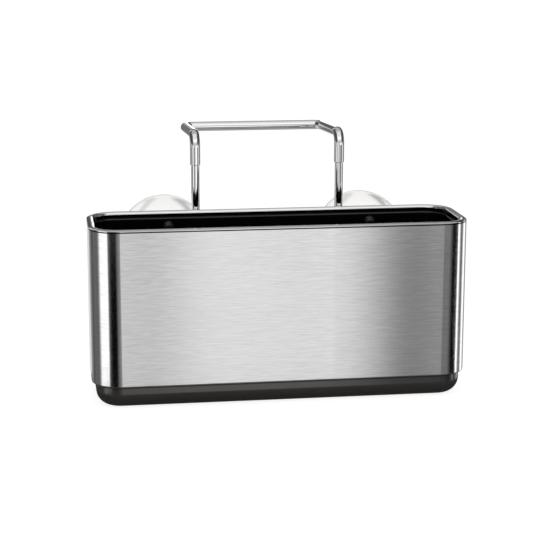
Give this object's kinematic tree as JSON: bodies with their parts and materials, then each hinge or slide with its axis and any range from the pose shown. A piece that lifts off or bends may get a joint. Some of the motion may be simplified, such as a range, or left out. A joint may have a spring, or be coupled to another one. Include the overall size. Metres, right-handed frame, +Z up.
{
  "type": "sponge holder",
  "caption": "Slim brushed-steel sink caddy for sponges with a dark plastic tub and base, suction cups and a lift-off tube loop that hangs it round a tap.",
  "frame": {"origin": "centre of the base's flat underside", "axes": "+X to the right along the caddy's width, +Y to the back where the loop reaches, +Z up"},
  "size_m": [0.25, 0.1541, 0.1725],
  "materials": {
    "brushed_steel": "fine level brushing",
    "polished_rim": "polished",
    "liner_plastic": "satin",
    "base_plastic": "satin",
    "screw_steel": "plain",
    "bright_rod": "polished",
    "strap_steel": "plain rolled",
    "rivet_steel": "plain",
    "soft_clear": "smooth, milky clear",
    "knob_plastic": "satin",
    "bright_tube": "polished",
    "plug_plastic": "plain"
  },
  "bodies": {
    "caddy": {"steel_shell": "brushed_steel", "rim_ring": "polished_rim", "inner_liner": "liner_plastic", "base_tray": "base_plastic", "base_screws": "screw_steel", "rear_frame": "bright_rod", "upper_strap": "strap_steel", "lower_strap": "strap_steel", "strap_rivets": "rivet_steel", "suction_cup_left": "soft_clear", "suction_cup_right": "soft_clear", "cup_knob_left": "knob_plastic", "cup_knob_right": "knob_plastic"},
    "hanger": {"hanger_loop": "bright_tube", "stop_plug_left": "plug_plastic", "stop_plug_right": "plug_plastic"}
  },
  "joints": [
    {"name": "hanger_lift", "type": "slide", "parent": "caddy", "child": "hanger", "axis": [0, 0, 1], "range_m": [0, 0.03]}
  ]
}
